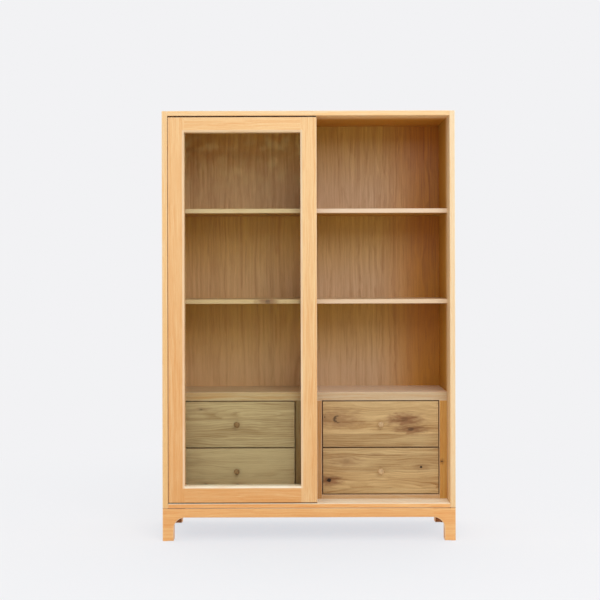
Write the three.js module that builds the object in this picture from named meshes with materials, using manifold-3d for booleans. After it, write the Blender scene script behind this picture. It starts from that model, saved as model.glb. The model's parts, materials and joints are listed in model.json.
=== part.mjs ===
// A bookcase in light oak: a case on a low footed base, two glazed doors that slide past each
// other in grooves, a centre divider, four fixed shelves and four drawers behind the doors.
// Millimetres, +Z up. The front faces -Y, and the origin is on the floor under the case's middle.

import * as THREE from 'three';
import { ConvexGeometry } from 'three/addons/geometries/ConvexGeometry.js';
import { mergeVertices } from 'three/addons/utils/BufferGeometryUtils.js';
import Module from 'manifold-3d';

const wasm = await Module();
wasm.setup();

// Case
const caseWidth = 1200;
const caseHeight = 1760;
const caseDepth = 400;
const sideThickness = 22;
const topThickness = 20;
const bottomThickness = 18;
const caseRound = 2;

// Base
const baseHeight = 134;
const apronHeight = 38.5;
const apronThickness = 22;
const legWidth = 45;
const bracketRadius = 47;
const baseRound = 2;

// Back panel, in grooves all round
const backThickness = 10;
const backInset = 10;
const backTongue = 6;
const panelRound = 1;

// Centre divider and shelves, housed in the boards that carry them
const dividerThickness = 22;
const dividerSetback = 60;
const housingDepth = 6;
const shelfThickness = 18;
const shelfSetback = 80;
const lowerBayHeight = 370;
const middleBayHeight = 359;
const boardRound = 1.5;

// Drawer units
const unitSetback = 100;
const unitTopThickness = 35;
const unitFloorThickness = 18;
const unitOuterWidth = 33;
const unitInnerWidth = 44;

// Drawers
const drawersPerUnit = 2;
const drawerHeight = 192;
const drawerGap = 3;
const drawerFrontThickness = 18;
const drawerRound = 1.5;
const boxWall = 12;
const boxTopDrop = 30;
const boxBackGap = 2;
const boxRound = 1;
const drawerBottomThickness = 6;
const drawerBottomLift = 8;
const drawerBottomTongue = 4.5;
const runnerWidth = 16;
const runnerThickness = 12;
const runnerFrontGap = 2;

// Knobs, turned in one piece with a round tenon
const knobDiameter = 24;
const knobLength = 22;
const knobTenonDiameter = 8;
const knobTenonLength = 12;
const knobSides = 28;
const knobProfileShares = [
  [0.56, 0],
  [0.56, 0.06],
  [0.44, 0.14],
  [0.42, 0.26],
  [0.52, 0.38],
  [0.80, 0.50],
  [0.97, 0.61],
  [1, 0.70],
  [0.95, 0.81],
  [0.78, 0.91],
  [0.48, 0.98],
];

// Doors
const doorSetback = 4;
const doorThickness = 22;
const doorSpacing = 6;
const doorOverlap = 68;
const doorSideGap = 2;
const doorFootGap = 3.5;
const doorHeadGap = 5.5;
const doorStileWidth = 66.5;
const doorTopRailHeight = 61;
const doorBottomRailHeight = 67;
const doorRound = 1;
const doorBevelWidth = 8;
const doorBevelDepth = 6;
const doorTongueThickness = 8;
const doorTenonLength = 35;
const doorTenonShoulder = 10;
const glassThickness = 4;
const glassSetback = 9;
const glassTongue = 9;

// Door grooves in the top and bottom boards
const bottomGrooveDepth = 5;
const topGrooveDepth = 12;
const topTongueReach = 6;
const runningGap = 0.5;

// Clearances and fineness
const fitGap = 0.3;
const cutOver = 5;
const arcSteps = 14;

// Planes that the pieces share
const front = -caseDepth / 2;
const back = caseDepth / 2;
const rightOutside = caseWidth / 2;
const rightInside = rightOutside - sideThickness;
const leftInside = -rightInside;
const floorLevel = baseHeight + bottomThickness;
const ceiling = caseHeight - topThickness;
const backFront = back - backInset - backThickness;
const unitFront = front + unitSetback;
const openingInner = dividerThickness / 2 + unitInnerWidth;
const openingOuter = rightInside - unitOuterWidth;
const openingBase = floorLevel + unitFloorThickness;
const openingTop = openingBase + drawersPerUnit * (drawerHeight + drawerGap) + drawerGap;
const unitTop = openingTop + unitTopThickness;
const lowerShelfBase = unitTop + lowerBayHeight;
const upperShelfBase = lowerShelfBase + shelfThickness + middleBayHeight;

// Half lengths of the aprons, which end where the legs' brackets end
const apronHalfLength = rightOutside - legWidth - bracketRadius;
const apronHalfDepth = back - legWidth - bracketRadius;

// Sizes that several door pieces share
const doorWidth = (rightInside - leftInside - 2 * doorSideGap + doorOverlap) / 2;
const doorHeight = ceiling - floorLevel - doorFootGap - doorHeadGap;
const doorTongueFront = (doorThickness - doorTongueThickness) / 2;
const doorTongueDepths = [doorTongueFront, doorTongueFront + doorTongueThickness];
const doorSetbacks = {
  front_door: doorSetback,
  rear_door: doorSetback + doorThickness + doorSpacing,
};

// Sizes that several drawer pieces share
const drawerWidth = openingOuter - openingInner - 2 * drawerGap;
const boxLength = backFront - boxBackGap - unitFront - drawerFrontThickness;
const boxHeight = drawerHeight - boxTopDrop;
const boxBase = fitGap - drawerGap;

const oak = { color: 0xe8b87c, roughness: 0.55, metalness: 0 };
const interiorOak = { color: 0xc49a68, roughness: 0.6, metalness: 0 };
const backOak = { color: 0x96714c, roughness: 0.65, metalness: 0 };
const rusticOak = { color: 0xb99768, roughness: 0.6, metalness: 0 };
const drawerLining = { color: 0xd2b080, roughness: 0.7, metalness: 0 };
const clearGlass = {
  color: 0xdfe8e2,
  roughness: 0.05,
  metalness: 0,
  transparent: true,
  opacity: 0.3,
};

// A three.js geometry as a solid that can be joined and cut.
function toSolid(geometry) {
  const bare = geometry.clone();
  bare.deleteAttribute('normal');
  bare.deleteAttribute('uv');
  const merged = mergeVertices(bare);
  return new wasm.Manifold(new wasm.Mesh({
    numProp: 3,
    vertProperties: new Float32Array(merged.attributes.position.array),
    triVerts: new Uint32Array(merged.index.array),
  }));
}

// One named piece from a finished solid.
function addPiece(parent, name, finish, solid) {
  const { vertProperties, triVerts } = solid.getMesh();
  const geometry = new THREE.BufferGeometry();
  geometry.setAttribute('position', new THREE.BufferAttribute(vertProperties, 3));
  geometry.setIndex(new THREE.BufferAttribute(triVerts, 1));
  geometry.computeVertexNormals();
  const mesh = new THREE.Mesh(geometry, new THREE.MeshStandardMaterial(finish));
  mesh.name = name;
  parent.add(mesh);
}

// A board that fills three spans, with its edges eased by a small chamfer. A face that is glued
// flush to its neighbour keeps sharp edges, and is named in flush: x0 is the low X face.
function board(x, y, z, ease, flush = []) {
  const inset = (face, end) => (flush.includes(face + end) ? 0 : (1 - 2 * end) * ease);
  const points = [];
  for (const i of [0, 1]) {
    for (const j of [0, 1]) {
      for (const k of [0, 1]) {
        const inX = x[i] + inset('x', i);
        const inY = y[j] + inset('y', j);
        const inZ = z[k] + inset('z', k);
        points.push(new THREE.Vector3(x[i], inY, inZ));
        points.push(new THREE.Vector3(inX, y[j], inZ));
        points.push(new THREE.Vector3(inX, inY, z[k]));
      }
    }
  }
  return toSolid(new ConvexGeometry(points));
}

// A sharp block that fills three spans, to cut with.
function block(x, y, z) {
  const points = [];
  for (const px of x) {
    for (const py of y) {
      for (const pz of z) {
        points.push(new THREE.Vector3(px, py, pz));
      }
    }
  }
  return toSolid(new ConvexGeometry(points));
}

// The block that a piece filling three spans needs around it.
function seat(spans, gap = fitGap) {
  return block(...spans.map(([low, high]) => [low - gap, high + gap]));
}

// A span on the right of the middle, or its mirror image on the left.
function sided(side, low, high) {
  return side > 0 ? [low, high] : [-high, -low];
}

function cut(solid, ...cutters) {
  return cutters.reduce((left, cutter) => left.subtract(cutter), solid);
}

function join(solid, ...others) {
  return others.reduce((whole, other) => whole.add(other), solid);
}

// Spans of the boards that are let into others.
const backSpans = [
  [leftInside - backTongue, rightInside + backTongue],
  [backFront, backFront + backThickness],
  [floorLevel - backTongue, ceiling + backTongue],
];
const dividerSpans = [
  [-dividerThickness / 2, dividerThickness / 2],
  [front + dividerSetback, backFront],
  [floorLevel - housingDepth, ceiling + housingDepth],
];

function shelfSpans(side, base) {
  return [
    sided(side, dividerThickness / 2 - housingDepth, rightInside + housingDepth),
    [front + shelfSetback, backFront],
    [base, base + shelfThickness],
  ];
}

const shelves = [
  ['shelf_left_lower', shelfSpans(-1, lowerShelfBase)],
  ['shelf_left_upper', shelfSpans(-1, upperShelfBase)],
  ['shelf_right_lower', shelfSpans(1, lowerShelfBase)],
  ['shelf_right_upper', shelfSpans(1, upperShelfBase)],
];

// Both door grooves of the top or bottom board, as the blocks that cut them.
function doorGrooves(z) {
  const x = [leftInside - cutOver, rightInside + cutOver];
  return Object.values(doorSetbacks).map((setback) => {
    const y = doorTongueDepths.map((depth) => front + setback + depth);
    return block(x, [y[0] - runningGap, y[1] + runningGap], z);
  });
}

function addCase(parent) {
  const depth = [front, back];
  const housings = [seat(backSpans), ...shelves.map(([, spans]) => seat(spans))];
  for (const [name, side] of [['side_panel_left', -1], ['side_panel_right', 1]]) {
    const width = sided(side, rightInside, rightOutside);
    const panel = board(width, depth, [baseHeight, caseHeight], caseRound);
    addPiece(parent, name, oak, cut(panel, ...housings));
  }
  const inside = [leftInside, rightInside];
  const panelHousings = [seat(backSpans), seat(dividerSpans)];
  const topGrooves = doorGrooves([ceiling - cutOver, ceiling + topGrooveDepth]);
  const top = board(inside, depth, [ceiling, caseHeight], boardRound);
  addPiece(parent, 'top_panel', oak, cut(top, ...panelHousings, ...topGrooves));
  const bottomGrooves = doorGrooves([floorLevel - bottomGrooveDepth, floorLevel + cutOver]);
  const bottom = board(inside, depth, [baseHeight, floorLevel], boardRound);
  addPiece(parent, 'bottom_panel', oak, cut(bottom, ...panelHousings, ...bottomGrooves));
  const divider = cut(board(...dividerSpans, boardRound), ...shelves.map(([, spans]) => seat(spans)));
  addPiece(parent, 'centre_divider', interiorOak, divider);
  addPiece(parent, 'back_panel', backOak, board(...backSpans, panelRound));
  for (const [name, spans] of shelves) {
    addPiece(parent, name, interiorOak, board(...spans, boardRound));
  }
}

// The outline of a leg with its curved bracket, drawn on u inwards from the outer corner and v up.
// It runs on past the bracket's end, where the leg is cut off flush.
function legOutline(corner, inwards) {
  const underside = baseHeight - apronHeight;
  const place = (u, v) => new THREE.Vector2(corner + inwards * u, v);
  const points = [place(0, 0), place(legWidth, 0)];
  for (let step = 0; step <= arcSteps; step += 1) {
    const angle = (Math.PI / 2) * (step / arcSteps);
    const u = legWidth + bracketRadius * (1 - Math.cos(angle));
    const v = underside - bracketRadius * (1 - Math.sin(angle));
    points.push(place(u, v));
  }
  const pastEnd = legWidth + bracketRadius + cutOver;
  points.push(place(pastEnd, underside), place(pastEnd, baseHeight), place(0, baseHeight));
  return new THREE.Shape(points);
}

// The bracket board of a leg as an extrusion whose faces lie at 0 and at the apron's thickness.
function bracketGeometry(corner, inwards) {
  const geometry = new THREE.ExtrudeGeometry(legOutline(corner, inwards), {
    depth: apronThickness - 2 * baseRound,
    bevelThickness: baseRound,
    bevelSize: baseRound,
    bevelOffset: -baseRound,
    bevelSegments: 1,
  });
  return geometry.translate(0, 0, baseRound);
}

// A leg: a square post with a bracket along the front or back and one along the side.
function legSolid(sideX, sideY) {
  const outerX = sideX * rightOutside;
  const outerY = sideY * back;
  const along = bracketGeometry(outerX, -sideX);
  along.rotateX(Math.PI / 2);
  along.translate(0, sideY > 0 ? outerY : outerY + apronThickness, 0);
  const across = bracketGeometry(outerY, -sideY);
  across.rotateX(Math.PI / 2);
  across.rotateZ(Math.PI / 2);
  across.translate(sideX > 0 ? outerX - apronThickness : outerX, 0, 0);
  const x = sided(sideX, rightOutside - legWidth, rightOutside);
  const y = sided(sideY, back - legWidth, back);
  const post = board(x, y, [0, baseHeight], baseRound);
  const height = [-cutOver, baseHeight + cutOver];
  const pastAlong = sided(sideX, apronHalfLength - 2 * cutOver, apronHalfLength);
  const pastAcross = sided(sideY, apronHalfDepth - 2 * cutOver, apronHalfDepth);
  return cut(
    join(post, toSolid(along), toSolid(across)),
    block(pastAlong, sided(sideY, apronHalfDepth, back + cutOver), height),
    block(sided(sideX, apronHalfLength, rightOutside + cutOver), pastAcross, height),
  );
}

function addBase(parent) {
  for (const [end, sideY] of [['front', -1], ['back', 1]]) {
    addPiece(parent, `leg_${end}_left`, oak, legSolid(-1, sideY));
    addPiece(parent, `leg_${end}_right`, oak, legSolid(1, sideY));
  }
  const height = [baseHeight - apronHeight, baseHeight];
  const length = [-apronHalfLength, apronHalfLength];
  const depth = [-apronHalfDepth, apronHalfDepth];
  for (const [name, side] of [['apron_front', -1], ['apron_back', 1]]) {
    const y = sided(side, back - apronThickness, back);
    addPiece(parent, name, oak, board(length, y, height, baseRound, ['x0', 'x1']));
  }
  for (const [name, side] of [['apron_left', -1], ['apron_right', 1]]) {
    const x = sided(side, rightOutside - apronThickness, rightOutside);
    addPiece(parent, name, oak, board(x, depth, height, baseRound, ['y0', 'y1']));
  }
}

// One drawer unit: a top board over two side boards, a floor rail between them, and the two
// runners of the upper drawer. The lower drawer slides on the floor rail.
function addDrawerUnit(parent, name, side) {
  const depth = [unitFront, backFront];
  const add = (part, x, y, z) => {
    addPiece(parent, `${name}_${part}`, interiorOak, board(x, y, z, boardRound));
  };
  add('top', sided(side, dividerThickness / 2, rightInside), depth, [openingTop, unitTop]);
  add('outer_side', sided(side, openingOuter, rightInside), depth, [floorLevel, openingTop]);
  add('inner_side', sided(side, dividerThickness / 2, openingInner), depth, [floorLevel, openingTop]);
  add('floor', sided(side, openingInner, openingOuter), depth, [floorLevel, openingBase]);
  const upperBoxBase = openingBase + drawerGap + drawerHeight + drawerGap + boxBase;
  const runnerHeight = [upperBoxBase - fitGap - runnerThickness, upperBoxBase - fitGap];
  const runnerDepth = [unitFront + drawerFrontThickness + runnerFrontGap, backFront];
  add('outer_runner', sided(side, openingOuter - runnerWidth, openingOuter), runnerDepth, runnerHeight);
  add('inner_runner', sided(side, openingInner, openingInner + runnerWidth), runnerDepth, runnerHeight);
}

// A turned knob on the -Y side of the origin, with its tenon on the +Y side.
function knobSolid() {
  const profile = [
    new THREE.Vector2(0, -knobTenonLength),
    new THREE.Vector2(knobTenonDiameter / 2, -knobTenonLength),
    new THREE.Vector2(knobTenonDiameter / 2, 0),
  ];
  for (const [radiusShare, lengthShare] of knobProfileShares) {
    profile.push(new THREE.Vector2(radiusShare * knobDiameter / 2, lengthShare * knobLength));
  }
  profile.push(new THREE.Vector2(0, knobLength));
  const geometry = new THREE.LatheGeometry(profile, knobSides);
  return toSolid(geometry.rotateX(Math.PI));
}

// The hole for a knob's tenon, from the drawer front's face inwards.
function knobHole() {
  const radius = knobTenonDiameter / 2 + fitGap;
  const length = cutOver + knobTenonLength + fitGap;
  const geometry = new THREE.CylinderGeometry(radius, radius, length, knobSides);
  return toSolid(geometry.translate(0, length / 2 - cutOver, 0));
}

// One drawer, drawn from the foot of its front's middle: the front, a three-sided box behind it,
// a bottom in grooves and a knob.
function addDrawer(parent, name, side, level) {
  const drawer = new THREE.Group();
  const middle = (openingInner + openingOuter) / 2;
  const base = openingBase + drawerGap + level * (drawerHeight + drawerGap);
  drawer.position.set(side * middle, unitFront, base);
  parent.add(drawer);
  const half = drawerWidth / 2;
  const boxFront = drawerFrontThickness;
  const boxBack = boxFront + boxLength;
  const bottomBase = boxBase + drawerBottomLift;
  const bottomSpans = [
    [-half + boxWall - drawerBottomTongue, half - boxWall + drawerBottomTongue],
    [boxFront - drawerBottomTongue, boxBack - boxWall + drawerBottomTongue],
    [bottomBase, bottomBase + drawerBottomThickness],
  ];
  const hole = knobHole().translate([0, 0, drawerHeight / 2]);
  const face = board([-half, half], [0, boxFront], [0, drawerHeight], drawerRound);
  addPiece(drawer, `${name}_front`, rusticOak, cut(face, seat(bottomSpans), hole));
  const outer = board([-half, half], [boxFront, boxBack], [boxBase, boxBase + boxHeight], boxRound);
  const inner = block(
    [-half + boxWall, half - boxWall],
    [boxFront - cutOver, boxBack - boxWall],
    [boxBase - cutOver, boxBase + boxHeight + cutOver],
  );
  addPiece(drawer, `${name}_box`, drawerLining, cut(outer, inner, seat(bottomSpans)));
  addPiece(drawer, `${name}_bottom`, drawerLining, block(...bottomSpans));
  addPiece(drawer, `${name}_knob`, rusticOak, knobSolid().translate([0, 0, drawerHeight / 2]));
}

// The flared cutter that bevels the inner front edges of a door's frame.
function bevelCutter(x, z) {
  const points = [];
  const flare = doorBevelWidth * (1 + cutOver / doorBevelDepth);
  for (const [y, growth] of [[doorBevelDepth, 0], [-cutOver, flare]]) {
    for (const px of [x[0] - growth, x[1] + growth]) {
      for (const pz of [z[0] - growth, z[1] + growth]) {
        points.push(new THREE.Vector3(px, y, pz));
      }
    }
  }
  return toSolid(new ConvexGeometry(points));
}

// One sliding door, drawn from its lower left front corner: two stiles, two rails tenoned into
// them, tongues along the foot and head that run in the case's grooves, and a glass in grooves.
function addDoor(parent, name, setback) {
  const door = new THREE.Group();
  door.position.set(leftInside + doorSideGap, front + setback, floorLevel + doorFootGap);
  parent.add(door);
  const thickness = [0, doorThickness];
  const openingX = [doorStileWidth, doorWidth - doorStileWidth];
  const openingZ = [doorBottomRailHeight, doorHeight - doorTopRailHeight];
  const glassSpans = [
    [openingX[0] - glassTongue, openingX[1] + glassTongue],
    [glassSetback, glassSetback + glassThickness],
    [openingZ[0] - glassTongue, openingZ[1] + glassTongue],
  ];
  const footTongue = [fitGap - doorFootGap - bottomGrooveDepth, cutOver];
  const headTongue = [doorHeight - cutOver, doorHeight + doorHeadGap + topTongueReach];
  const tenonInset = glassTongue + doorTenonShoulder;
  const tenonHeights = [
    [doorTenonShoulder, openingZ[0] - tenonInset],
    [openingZ[1] + tenonInset, doorHeight - doorTenonShoulder],
  ];
  const tenonX = [openingX[0] - doorTenonLength, openingX[1] + doorTenonLength];
  const cutters = [seat(glassSpans), bevelCutter(openingX, openingZ)];
  const mortises = tenonHeights.map((z) => seat([tenonX, doorTongueDepths, z]));
  const stiles = {
    left_stile: [[0, doorStileWidth], ['x1']],
    right_stile: [[openingX[1], doorWidth], ['x0']],
  };
  for (const [part, [x, flush]] of Object.entries(stiles)) {
    const upright = (depths, z) => board(x, depths, z, doorRound, flush);
    const tongues = [footTongue, headTongue].map((z) => upright(doorTongueDepths, z));
    const stile = join(upright(thickness, [0, doorHeight]), ...tongues);
    addPiece(door, `${name}_${part}`, oak, cut(stile, ...cutters, ...mortises));
  }
  const rails = {
    bottom_rail: [[0, openingZ[0]], footTongue, tenonHeights[0]],
    top_rail: [[openingZ[1], doorHeight], headTongue, tenonHeights[1]],
  };
  for (const [part, [z, tongueZ, tenonZ]] of Object.entries(rails)) {
    const crosspiece = (depths, height) => board(openingX, depths, height, doorRound, ['x0', 'x1']);
    const tenons = board(tenonX, doorTongueDepths, tenonZ, doorRound);
    const rail = join(crosspiece(thickness, z), crosspiece(doorTongueDepths, tongueZ), tenons);
    addPiece(door, `${name}_${part}`, oak, cut(rail, ...cutters));
  }
  addPiece(door, `${name}_glass`, clearGlass, block(...glassSpans));
}

const bookcase = new THREE.Group();
addBase(bookcase);
addCase(bookcase);
for (const [name, side] of [['left', -1], ['right', 1]]) {
  addDrawerUnit(bookcase, `drawer_unit_${name}`, side);
  addDrawer(bookcase, `drawer_${name}_lower`, side, 0);
  addDrawer(bookcase, `drawer_${name}_upper`, side, 1);
}
for (const [name, setback] of Object.entries(doorSetbacks)) {
  addDoor(bookcase, name, setback);
}

export default bookcase;
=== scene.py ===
"""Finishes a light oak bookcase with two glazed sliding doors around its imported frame."""

import json
import math
import random
from dataclasses import dataclass, replace

import bmesh
import bpy
from bpy.props import FloatProperty, FloatVectorProperty, IntProperty, PointerProperty
from bpy.types import Operator, Panel, PropertyGroup
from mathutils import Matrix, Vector
from mathutils.geometry import interpolate_bezier


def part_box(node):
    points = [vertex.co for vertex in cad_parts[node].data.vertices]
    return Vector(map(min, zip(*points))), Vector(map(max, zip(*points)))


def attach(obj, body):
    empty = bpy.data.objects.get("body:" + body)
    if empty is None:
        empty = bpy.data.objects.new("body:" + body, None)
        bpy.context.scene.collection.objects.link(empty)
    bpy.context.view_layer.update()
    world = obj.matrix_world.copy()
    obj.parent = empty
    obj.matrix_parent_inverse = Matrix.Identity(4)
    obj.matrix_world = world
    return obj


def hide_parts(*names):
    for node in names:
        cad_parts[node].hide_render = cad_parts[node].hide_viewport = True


bl_info = {
    "name": "Sliding Door Bookcase",
    "version": (1, 0, 0),
    "blender": (4, 5, 0),
    "location": "3D View > Sidebar > Bookcase",
    "description": "Finishes each piece of a light oak bookcase and sets up its studio",
    "category": "Object",
}

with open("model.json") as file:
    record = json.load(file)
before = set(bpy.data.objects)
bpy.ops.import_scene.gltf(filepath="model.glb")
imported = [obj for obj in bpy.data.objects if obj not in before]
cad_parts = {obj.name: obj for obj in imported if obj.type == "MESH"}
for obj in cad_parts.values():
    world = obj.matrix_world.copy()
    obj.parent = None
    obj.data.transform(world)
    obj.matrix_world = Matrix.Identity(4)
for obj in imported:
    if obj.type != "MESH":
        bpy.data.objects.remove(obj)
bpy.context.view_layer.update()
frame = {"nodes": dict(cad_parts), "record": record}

# Which body each node moves with, and which finish the record gives it
BODY = {
    node: body
    for body, nodes in frame["record"]["behaviour"]["bodies"].items()
    for node in nodes
}

# Attributes that the meshes carry for the materials
GRAIN = "grain"
BOARD = "board"
DEPTH = "depth"
# The pale attribute carries painted highlight, and the inner one painted shade
PALE = "pale"
INNER = "inner"

# Boards that are darker or paler than their finish, by this share of the way to its dark tone: partly
# each board's own tone, partly painted shade, as on the left side panel, the left knobs and the units'
# inner sides
BOARD_DEPTHS = {
    "side_panel_left": 0.35,
    "side_panel_right": -0.25,
    "top_panel": 0.45,
    "bottom_panel": 0.25,
    "front_door_left_stile": 0.05,
    "front_door_right_stile": -0.2,
    "front_door_top_rail": -0.1,
    "front_door_bottom_rail": 0.1,
    "shelf_right_lower": 0.3,
    "shelf_left_upper": 0.3,
    "shelf_left_lower": 0.6,
    "drawer_unit_right_top": -0.3,
    "drawer_unit_left_top": 0.1,
    "drawer_unit_right_floor": 0.25,
    "drawer_unit_left_floor": 0.3,
    "drawer_unit_right_inner_side": 0.5,
    "drawer_unit_left_inner_side": 0.5,
    "drawer_left_lower_front": -0.3,
    "drawer_left_lower_knob": 0.6,
    "drawer_left_upper_knob": 0.6,
    "drawer_right_lower_knob": -0.15,
    "drawer_right_upper_knob": -0.15,
}

# How pale a board's lip is, where it isn't fully pale. A shelf's front edge is partly pale lipping and
# partly painted highlight; a unit's top is a painted highlight, and the left bay's are less pale as
# painted shade
LIP_PALENESS = {
    "shelf_right_upper": 0.85,
    "shelf_right_lower": 0.5,
    "shelf_left_upper": 0.15,
    "shelf_left_lower": 0.05,
    "drawer_unit_right_top": 0.85,
    "drawer_unit_left_top": 0.45,
}

# Axes
X, Y, Z = range(3)

# Mesh clean-up: points closer than WELD are one point, faces within FLAT are one face, and an
# edge that turns by an angle between the two chamfer limits borders an eased edge
WELD = 1e-5
FLAT = math.radians(1)
LEAST_CHAMFER = math.radians(30)
MOST_CHAMFER = math.radians(60)
SQUARE_NORMAL = 0.999
SOFT_STEPS = 2

# An eased edge is at most this wide. This much of the pale colour, a painted highlight, shows on it, and
# on a bevel
EASED_WIDTH = 0.0045
EASED_PALENESS = 0.45
BEVEL_PALENESS = 0.4

# A face gets painted shade if it turns this far towards a shaded side and lies this near to it, or if it
# looks forward from at least a recess behind its piece's front. A lip and painted highlight turns this
# far its way
STAIN_TURN = 0.3
STAIN_REACH = 0.012
RECESS = 0.003
LIP_TURN = 0.5

# Ways that a face can look
FRONTWARD = Vector((0.0, -1.0, 0.0))
LEFTWARD = Vector((-1.0, 0.0, 0.0))
RIGHTWARD = Vector((1.0, 0.0, 0.0))
UPWARD = Vector((0.0, 0.0, 1.0))
DOWNWARD = Vector((0.0, 0.0, -1.0))

# The case's inner painted shade comes in between these places, from the front to the back
STAIN_SPAN = (-0.15, -0.04)

# A finish with painted shade towards the floor has its own tone at this height: darker below it, and
# lighter below it where the shade is negative
TRUE_HEIGHT = 1.45

# The back has painted shade this far below a board, and between these places on the right
CEILING_HEIGHT = 0.34
CORNER_SPAN = (0.27, 0.52)

# Seeds run from 0 to SEED_RANGE
SEED_RANGE = 100.0

# A knob's outline from the drawer's face to its tip, as shares of its radius and of its length
KNOB_PROFILE_SHARES = [
    (0.56, 0.0),
    (0.56, 0.06),
    (0.44, 0.14),
    (0.42, 0.26),
    (0.52, 0.38),
    (0.80, 0.50),
    (0.97, 0.61),
    (1.0, 0.70),
    (0.95, 0.81),
    (0.78, 0.91),
    (0.48, 0.98),
    (0.0, 1.0),
]
KNOB_SPAN_STEPS = 4
KNOB_TENON_RADIUS = 0.004

# How many lumps each noise has in a metre: along, across and through the board, or along X, Y and Z
SWAY_LUMPS = (5.0, 12.0, 12.0)
DRIFT_LUMPS = (1.1, 7.0, 1.0)
RUMPLE_LUMPS = (4.0, 24.0, 24.0)
FIBRE_LUMPS = (5.0, 320.0, 320.0)
STREAK_LUMPS = (0.9, 85.0, 85.0)
PORE_LUMPS = (75.0, 1500.0, 1500.0)
BAND_LUMPS = (2.2, 30.0, 30.0)
WEAR_LUMPS = (9.0, 60.0, 60.0)
KNOT_EDGE_LUMPS = (160.0, 160.0, 40.0)
KNOT_HALO_LUMPS = (30.0, 110.0, 40.0)
SMEAR_LUMPS = (3.0, 3.0, 5.0)
LEAF_LUMPS = (130.0, 130.0, 130.0)

# A stave comes from anywhere in a log of this length and depth. Its pith strays sideways by a
# share of the stave's width, and swings and sinks by shares of the grain's wander
LOG_LENGTH = 9.0
LOG_DEPTH = 3.0
PITH_STRAY_SHARE = 1.6
PITH_SWING_SHARE = 3.0
PITH_SINK_SHARE = 4.0

# Late wood is darkest at the first share of a growth ring and ends at the second. The rumple's
# noise moves the rings by this many
LATE_WOOD = (0.12, 0.8)
RING_RUMPLE = 2.4

# A pore comes in between these levels of its noise, and a joint between these distances past a
# stave's edge. Each has this share of the wood's brightness
PORE_SPAN = (0.60, 0.72)
JOINT_SPAN = (-0.0012, -0.0002)
PORE_TONE = 0.45
JOINT_TONE = 0.5

# A random value or a mask turns into a factor by a slope and a start
PITH_DEPTHS = (0.8, 0.6)
RING_STRENGTHS = (0.7, 0.3)
PORE_STRENGTHS = (0.6, 0.4)
LINE_STRENGTHS = (1.6, 0.12)
BASE_SHADE = 0.2

# The painted edge highlight shows between these levels of its noise, unevenly, by these shares of an
# edge's paleness
WEAR_NOISE = (0.2, 0.7)
WEAR_SHARES = (0.7, 1.1)

# A knot's outlines fade between these distances, in radii, and are ragged by this many radii. Its
# halo is longer than its core by the stretch. It draws the grain in on an oval of this length,
# as far as the reach. A way through the board counts by the flatness
CORE_EDGE = (0.65, 1.05)
HOLLOW_EDGE = (0.5, 0.85)
HALO_EDGE = (0.4, 3.2)
KNOT_RAGGEDNESS = 0.9
HALO_RAGGEDNESS = 4.0
HALO_STRETCH = 2.2
DRAW_LENGTH = 3.0
DRAW_REACH = 4.0
KNOT_FLATNESS = 0.3

# A knot's stain, the grain's relief, and optics
HALO_STRENGTH = 0.6
RELIEF_STRENGTH = 0.3
RELIEF_HEIGHT = 0.0004
FIBRE_RELIEF = 0.5
RING_RELIEF = -0.25
RING_ROUGHNESS = 0.08
PORE_ROUGHNESS = 0.15
OAK_IOR = 1.46
GLASS_IOR = 1.5
SMEAR_NOISE = (0.45, 0.75)
SMEAR_ROUGHNESS = 0.03

# Width and height of the picture in pixels, and the sensor's width in millimetres
PICTURE_SIZE = 600
SENSOR_WIDTH = 36.0

# The floor's real light fades into the backdrop's colour between these distances. In gloss the dim
# room's floor ends between these places in front of the bookcase
FADE = (1.1, 2.6)
FLOOR_SEGMENTS = 96
DIM_FLOOR_END = (-0.7, -0.3)

# A leaf shows between these levels of its noise, where a direction points this far up. The dim
# room and the front fill end between these parts of a direction along Y
LEAF_EDGE = (0.45, 0.7)
LEAF_RISE = (0.05, 0.1)
DIM_ROOM_END = (-0.6, 0.3)
FRONT_FILL_END = (-0.9, -0.2)

# A node group's colours before they are fed, and what kind its outputs are that aren't numbers
ANY_COLOUR = (0.8, 0.6, 0.4, 1.0)
OUTPUT_KINDS = {"Color": "NodeSocketColor", "Vector": "NodeSocketVector"}


def display(red, green, blue):
    """A display colour from 0 to 255 as the linear colour that the shaders use."""
    shares = [value / 255 for value in (red, green, blue)]
    return tuple(
        share / 12.92 if share <= 0.04045 else ((share + 0.055) / 1.055) ** 2.4
        for share in shares
    )


def colour_property(name, description, red, green, blue):
    return FloatVectorProperty(
        name=name,
        description=description,
        subtype="COLOR",
        size=3,
        min=0.0,
        max=1.0,
        default=display(red, green, blue),
    )


def early_wood(piece, *levels):
    return colour_property(piece + " Light", "Early wood of the " + piece.lower(), *levels)


def late_wood(piece, *levels):
    return colour_property(piece + " Dark", "Late wood of the " + piece.lower(), *levels)


def length_property(name, description, default):
    return FloatProperty(
        name=name,
        description=description,
        subtype="DISTANCE",
        unit="LENGTH",
        precision=4,
        default=default,
    )


def count_property(name, description, default, least, most):
    return IntProperty(name=name, description=description, default=default, min=least, max=most)


def number_property(name, description, default):
    return FloatProperty(name=name, description=description, default=default)


def place_property(name, description, *default):
    return FloatVectorProperty(
        name=name,
        description=description,
        subtype="TRANSLATION",
        unit="LENGTH",
        default=default,
    )


def light_property(name, description, *default):
    return FloatVectorProperty(name=name, description=description, subtype="COLOR", default=default)


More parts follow.
